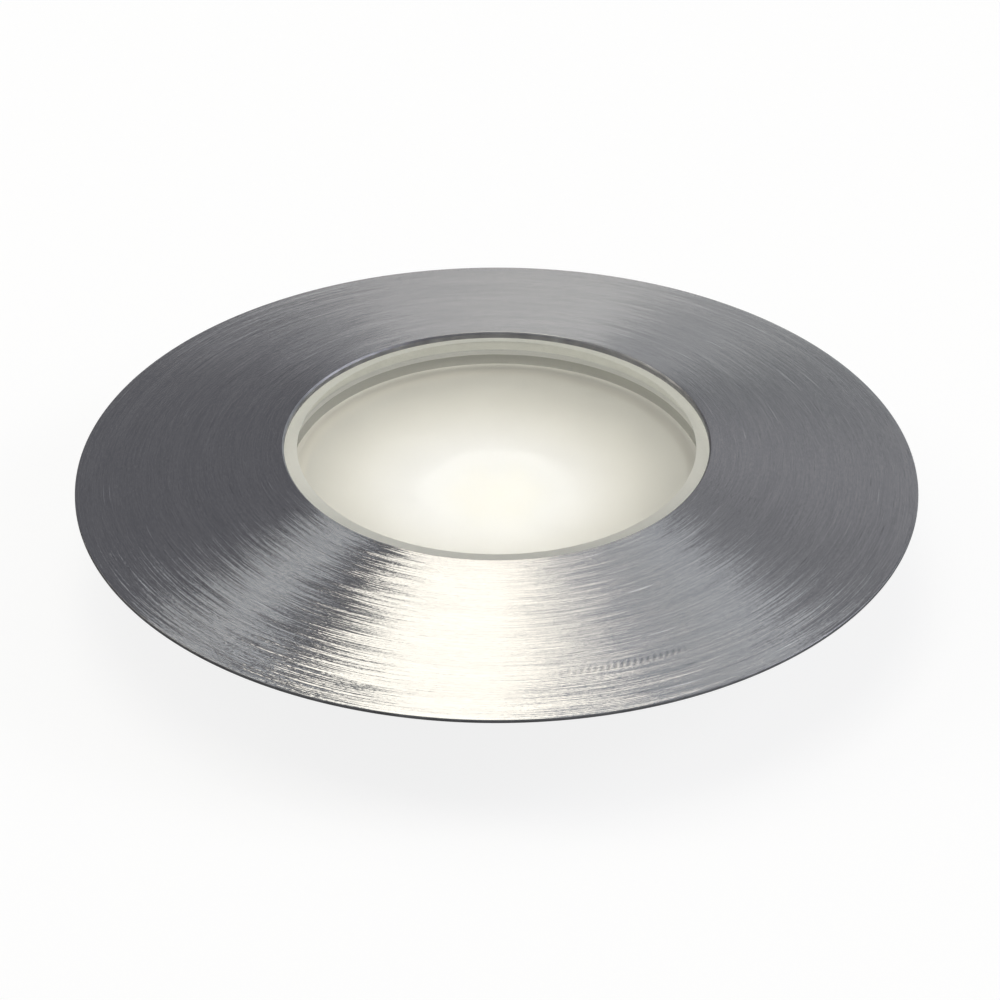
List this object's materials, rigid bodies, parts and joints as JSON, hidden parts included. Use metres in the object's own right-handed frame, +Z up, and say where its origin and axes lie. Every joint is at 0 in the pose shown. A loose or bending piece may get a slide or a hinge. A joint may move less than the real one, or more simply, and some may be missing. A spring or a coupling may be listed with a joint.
{
  "type": "recessed walk-over lamp",
  "caption": "Low conical brushed steel ring round a thick bevelled glass over a warm white light well, on a shallow sealed drop-in body with a battery, charging port and spring clips.",
  "frame": {"origin": "on the lamp's axis at the underside of the base cover, on which the lamp stands out of its hole", "axes": "+Z up along the lamp's axis through the glass; +Y towards the charging port and power button; -Y is the side nearest the viewer of the picture"},
  "size_m": [0.15, 0.15, 0.0292],
  "materials": {
    "ring_steel": "circular brushed, satin",
    "boss_steel": "turned",
    "screw_steel": "bright",
    "clear_glass": "polished with a ground bevel",
    "clear_silicone": "smooth, milky",
    "satin_white": "satin, lit from below",
    "bowl_white": "glossy white",
    "board_white": "white solder mask",
    "lamp_phosphor": "warm white emitters",
    "spreader_aluminium": "mill finish",
    "housing_black": "fine moulded texture",
    "foam_black": "closed-cell foam",
    "seal_rubber": "smooth",
    "cell_foil": "silver foil pouch",
    "lead_red": "insulation",
    "lead_white": "insulation",
    "connector_cream": "moulded",
    "board_green": "green solder mask",
    "chip_black": "moulded",
    "socket_steel": "drawn",
    "button_silicone": "smooth",
    "spring_steel": "tempered strip"
  },
  "bodies": {
    "lamp": {"trim_ring": "ring_steel", "trim_bosses": "boss_steel", "trim_screws": "screw_steel", "base_screws": "screw_steel", "board_screws": "screw_steel", "led_board_screws": "screw_steel", "lens_glass": "clear_glass", "lens_gasket": "clear_silicone", "diffuser_plate": "satin_white", "reflector_bowl": "bowl_white", "led_board": "board_white", "led_chips": "lamp_phosphor", "heat_spreader": "spreader_aluminium", "housing": "housing_black", "base_cover": "housing_black", "deck_gasket": "foam_black", "base_seal": "seal_rubber", "battery_cell": "cell_foil", "battery_pad": "foam_black", "battery_leads": "lead_red", "led_leads": "lead_white", "battery_connector": "connector_cream", "control_board": "board_green", "charger_parts": "chip_black", "button_switch": "chip_black", "charge_socket": "socket_steel", "plug_anchor": "button_silicone"},
    "power_button": {"power_button": "button_silicone"},
    "port_plug": {"port_plug": "button_silicone"},
    "clip_1": {"spring_clip_1": "spring_steel"},
    "clip_2": {"spring_clip_2": "spring_steel"},
    "clip_3": {"spring_clip_3": "spring_steel"}
  },
  "joints": [
    {"name": "button_press", "type": "slide", "parent": "lamp", "child": "power_button", "axis": [0, -1, 0], "range_m": [0, 0.0008], "stiffness_N_per_m": 2500},
    {"name": "plug_open", "type": "hinge", "parent": "lamp", "child": "port_plug", "pos_m": [-0.006, 0.042, 0.00748], "axis": [-1, 0, 0], "range_deg": [0, 110]},
    {"name": "clip_1_flex", "type": "hinge", "parent": "lamp", "child": "clip_1", "pos_m": [0, -0.0472, 0.0228], "axis": [1, 0, 0], "range_deg": [0, 7], "stiffness_Nm_per_rad": 0.35},
    {"name": "clip_2_flex", "type": "hinge", "parent": "lamp", "child": "clip_2", "pos_m": [0.04088, 0.0236, 0.0228], "axis": [-0.5, 0.866, 0], "range_deg": [0, 7], "stiffness_Nm_per_rad": 0.35},
    {"name": "clip_3_flex", "type": "hinge", "parent": "lamp", "child": "clip_3", "pos_m": [-0.04088, 0.0236, 0.0228], "axis": [-0.5, -0.866, 0], "range_deg": [0, 7], "stiffness_Nm_per_rad": 0.35}
  ]
}
